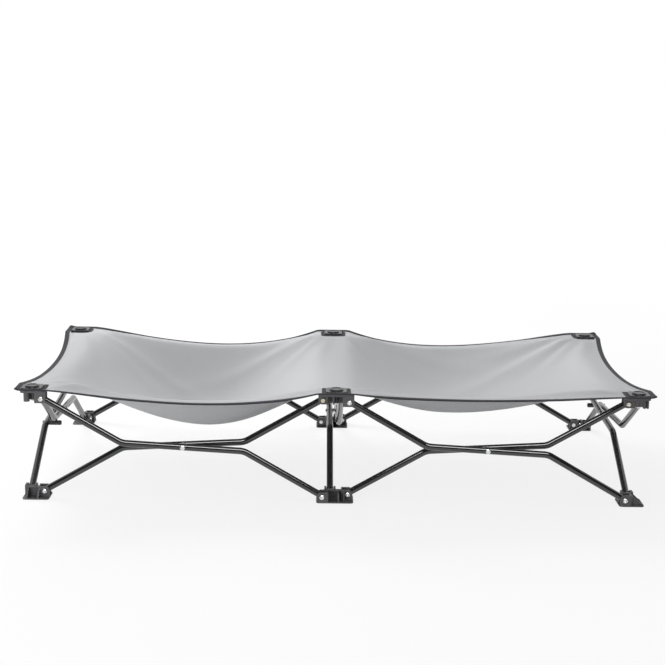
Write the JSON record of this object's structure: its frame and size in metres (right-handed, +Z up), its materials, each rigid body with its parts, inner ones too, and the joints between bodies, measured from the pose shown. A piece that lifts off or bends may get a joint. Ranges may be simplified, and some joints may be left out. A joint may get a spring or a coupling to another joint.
{
  "type": "folding raised dog cot",
  "caption": "Raised folding dog cot: crossed bent steel tubes between moulded hubs and feet fold together and carry a fabric sling clamped at the hubs.",
  "frame": {"origin": "on the floor under the middle of the cot", "axes": "+X along the length, +Y across the width away from the viewer, +Z up"},
  "size_m": [1.195, 0.621, 0.2183],
  "materials": {
    "moulded": "satin charcoal moulded plastic",
    "black_steel": "gloss black powder coat",
    "zinc": "bright zinc",
    "peg": "dark satin",
    "cap": "black semi-gloss",
    "cloth": "light grey woven polyester",
    "trim": "charcoal woven tape"
  },
  "bodies": {
    "foot_near_left": {"foot_near_left": "moulded", "foot_bolts_near_left": "zinc"},
    "foot_near_mid": {"foot_near_mid": "moulded", "foot_bolts_near_mid": "zinc"},
    "foot_near_right": {"foot_near_right": "moulded", "foot_bolts_near_right": "zinc"},
    "foot_far_left": {"foot_far_left": "moulded", "foot_bolts_far_left": "zinc"},
    "foot_far_mid": {"foot_far_mid": "moulded", "foot_bolts_far_mid": "zinc"},
    "foot_far_right": {"foot_far_right": "moulded", "foot_bolts_far_right": "zinc"},
    "hub_near_left": {"hub_near_left": "moulded", "hub_bolts_near_left": "zinc", "cap_near_left": "cap"},
    "hub_near_mid": {"hub_near_mid": "moulded", "hub_bolts_near_mid": "zinc", "cap_near_mid": "cap", "sling": "cloth", "edge_binding": "trim", "corner_patches": "trim"},
    "hub_near_right": {"hub_near_right": "moulded", "hub_bolts_near_right": "zinc", "cap_near_right": "cap"},
    "hub_far_left": {"hub_far_left": "moulded", "hub_bolts_far_left": "zinc", "cap_far_left": "cap"},
    "hub_far_mid": {"hub_far_mid": "moulded", "hub_bolts_far_mid": "zinc", "cap_far_mid": "cap"},
    "hub_far_right": {"hub_far_right": "moulded", "hub_bolts_far_right": "zinc", "cap_far_right": "cap"},
    "tube_near_left_a": {"tube_near_left_a": "black_steel", "rivet_near_left": "zinc"},
    "tube_near_left_b": {"tube_near_left_b": "black_steel"},
    "tube_near_right_a": {"tube_near_right_a": "black_steel", "rivet_near_right": "zinc"},
    "tube_near_right_b": {"tube_near_right_b": "black_steel"},
    "tube_far_left_a": {"tube_far_left_a": "black_steel", "rivet_far_left": "zinc"},
    "tube_far_left_b": {"tube_far_left_b": "black_steel"},
    "tube_far_right_a": {"tube_far_right_a": "black_steel", "rivet_far_right": "zinc"},
    "tube_far_right_b": {"tube_far_right_b": "black_steel"},
    "tube_left_end_a": {"tube_left_end_a": "black_steel", "rivet_left_end": "zinc", "stop_peg_left": "peg"},
    "tube_left_end_b": {"tube_left_end_b": "black_steel"},
    "tube_mid_a": {"tube_mid_a": "black_steel", "rivet_mid": "zinc"},
    "tube_mid_b": {"tube_mid_b": "black_steel"},
    "tube_right_end_a": {"tube_right_end_a": "black_steel", "rivet_right_end": "zinc", "stop_peg_right": "peg"},
    "tube_right_end_b": {"tube_right_end_b": "black_steel"}
  },
  "joints": [
    {"name": "fold", "type": "hinge", "parent": "foot_near_mid", "child": "tube_mid_a", "pos_m": [-0.009, -0.2625, 0.0116], "axis": [1, 0, 0], "range_deg": [0, 58], "deforming": ["sling", "edge_binding", "corner_patches"]},
    {"name": "hub_far_mid_pivot", "type": "hinge", "parent": "tube_mid_a", "child": "hub_far_mid", "pos_m": [-0.009, 0.2625, 0.1956], "axis": [1, 0, 0], "range_deg": [-58, 0]},
    {"name": "mid_cross_pivot", "type": "hinge", "parent": "tube_mid_a", "child": "tube_mid_b", "pos_m": [0, 0, 0.1036], "axis": [1, 0, 0], "range_deg": [-116, 0]},
    {"name": "hub_near_mid_pivot", "type": "hinge", "parent": "tube_mid_b", "child": "hub_near_mid", "pos_m": [0.009, -0.2625, 0.1956], "axis": [1, 0, 0], "range_deg": [0, 58]},
    {"name": "foot_far_mid_pivot", "type": "hinge", "parent": "tube_mid_b", "child": "foot_far_mid", "pos_m": [0.009, 0.2625, 0.0116], "axis": [1, 0, 0], "range_deg": [0, 58]},
    {"name": "near_left_a_pivot", "type": "hinge", "parent": "foot_near_mid", "child": "tube_near_left_a", "pos_m": [-0.0245, -0.29, 0.0116], "axis": [0, 1, 0], "range_deg": [0, 58]},
    {"name": "hub_near_left_pivot", "type": "hinge", "parent": "tube_near_left_a", "child": "hub_near_left", "pos_m": [-0.5495, -0.29, 0.1956], "axis": [0, 1, 0], "range_deg": [-58, 0]},
    {"name": "near_right_b_pivot", "type": "hinge", "parent": "foot_near_mid", "child": "tube_near_right_b", "pos_m": [0.0245, -0.272, 0.0116], "axis": [0, 1, 0], "range_deg": [-58, 0]},
    {"name": "hub_near_right_pivot", "type": "hinge", "parent": "tube_near_right_b", "child": "hub_near_right", "pos_m": [0.5495, -0.272, 0.1956], "axis": [0, 1, 0], "range_deg": [0, 58]},
    {"name": "near_left_b_pivot", "type": "hinge", "parent": "hub_near_mid", "child": "tube_near_left_b", "pos_m": [-0.0245, -0.272, 0.1956], "axis": [0, 1, 0], "range_deg": [-58, 0]},
    {"name": "foot_near_left_pivot", "type": "hinge", "parent": "tube_near_left_b", "child": "foot_near_left", "pos_m": [-0.5495, -0.272, 0.0116], "axis": [0, 1, 0], "range_deg": [0, 58]},
    {"name": "near_right_a_pivot", "type": "hinge", "parent": "hub_near_mid", "child": "tube_near_right_a", "pos_m": [0.0245, -0.29, 0.1956], "axis": [0, 1, 0], "range_deg": [0, 58]},
    {"name": "foot_near_right_pivot", "type": "hinge", "parent": "tube_near_right_a", "child": "foot_near_right", "pos_m": [0.5495, -0.29, 0.0116], "axis": [0, 1, 0], "range_deg": [-58, 0]},
    {"name": "far_left_b_pivot", "type": "hinge", "parent": "foot_far_mid", "child": "tube_far_left_b", "pos_m": [-0.0245, 0.272, 0.0116], "axis": [0, 1, 0], "range_deg": [0, 58]},
    {"name": "hub_far_left_pivot", "type": "hinge", "parent": "tube_far_left_b", "child": "hub_far_left", "pos_m": [-0.5495, 0.272, 0.1956], "axis": [0, 1, 0], "range_deg": [-58, 0]},
    {"name": "far_right_a_pivot", "type": "hinge", "parent": "foot_far_mid", "child": "tube_far_right_a", "pos_m": [0.0245, 0.29, 0.0116], "axis": [0, 1, 0], "range_deg": [-58, 0]},
    {"name": "hub_far_right_pivot", "type": "hinge", "parent": "tube_far_right_a", "child": "hub_far_right", "pos_m": [0.5495, 0.29, 0.1956], "axis": [0, 1, 0], "range_deg": [0, 58]},
    {"name": "left_end_a_pivot", "type": "hinge", "parent": "foot_near_left", "child": "tube_left_end_a", "pos_m": [-0.577, -0.2625, 0.0116], "axis": [1, 0, 0], "range_deg": [0, 58]},
    {"name": "right_end_b_pivot", "type": "hinge", "parent": "foot_near_right", "child": "tube_right_end_b", "pos_m": [0.559, -0.2625, 0.0116], "axis": [1, 0, 0], "range_deg": [0, 58]},
    {"name": "far_left_a_pivot", "type": "hinge", "parent": "hub_far_mid", "child": "tube_far_left_a", "pos_m": [-0.0245, 0.29, 0.1956], "axis": [0, 1, 0], "range_deg": [-58, 0]},
    {"name": "foot_far_left_pivot", "type": "hinge", "parent": "tube_far_left_a", "child": "foot_far_left", "pos_m": [-0.5495, 0.29, 0.0116], "axis": [0, 1, 0], "range_deg": [0, 58]},
    {"name": "far_right_b_pivot", "type": "hinge", "parent": "hub_far_mid", "child": "tube_far_right_b", "pos_m": [0.0245, 0.272, 0.1956], "axis": [0, 1, 0], "range_deg": [0, 58]},
    {"name": "foot_far_right_pivot", "type": "hinge", "parent": "tube_far_right_b", "child": "foot_far_right", "pos_m": [0.5495, 0.272, 0.0116], "axis": [0, 1, 0], "range_deg": [-58, 0]},
    {"name": "left_end_b_pivot", "type": "hinge", "parent": "hub_near_left", "child": "tube_left_end_b", "pos_m": [-0.559, -0.2625, 0.1956], "axis": [1, 0, 0], "range_deg": [-58, 0]},
    {"name": "right_end_a_pivot", "type": "hinge", "parent": "hub_near_right", "child": "tube_right_end_a", "pos_m": [0.577, -0.2625, 0.1956], "axis": [1, 0, 0], "range_deg": [-58, 0]}
  ],
  "couplings": [
    {"joint": "hub_far_mid_pivot", "follows": "fold", "ratio": -1},
    {"joint": "mid_cross_pivot", "follows": "fold", "ratio": -2},
    {"joint": "hub_near_mid_pivot", "follows": "fold", "ratio": 1},
    {"joint": "foot_far_mid_pivot", "follows": "fold", "ratio": 1},
    {"joint": "near_left_a_pivot", "follows": "fold", "ratio": 1},
    {"joint": "hub_near_left_pivot", "follows": "fold", "ratio": -1},
    {"joint": "near_right_b_pivot", "follows": "fold", "ratio": -1},
    {"joint": "hub_near_right_pivot", "follows": "fold", "ratio": 1},
    {"joint": "near_left_b_pivot", "follows": "fold", "ratio": -1},
    {"joint": "foot_near_left_pivot", "follows": "fold", "ratio": 1},
    {"joint": "near_right_a_pivot", "follows": "fold", "ratio": 1},
    {"joint": "foot_near_right_pivot", "follows": "fold", "ratio": -1},
    {"joint": "far_left_b_pivot", "follows": "fold", "ratio": 1},
    {"joint": "hub_far_left_pivot", "follows": "fold", "ratio": -1},
    {"joint": "far_right_a_pivot", "follows": "fold", "ratio": -1},
    {"joint": "hub_far_right_pivot", "follows": "fold", "ratio": 1},
    {"joint": "left_end_a_pivot", "follows": "fold", "ratio": 1},
    {"joint": "right_end_b_pivot", "follows": "fold", "ratio": 1},
    {"joint": "far_left_a_pivot", "follows": "fold", "ratio": -1},
    {"joint": "foot_far_left_pivot", "follows": "fold", "ratio": 1},
    {"joint": "far_right_b_pivot", "follows": "fold", "ratio": 1},
    {"joint": "foot_far_right_pivot", "follows": "fold", "ratio": -1},
    {"joint": "left_end_b_pivot", "follows": "fold", "ratio": -1},
    {"joint": "right_end_a_pivot", "follows": "fold", "ratio": -1}
  ]
}
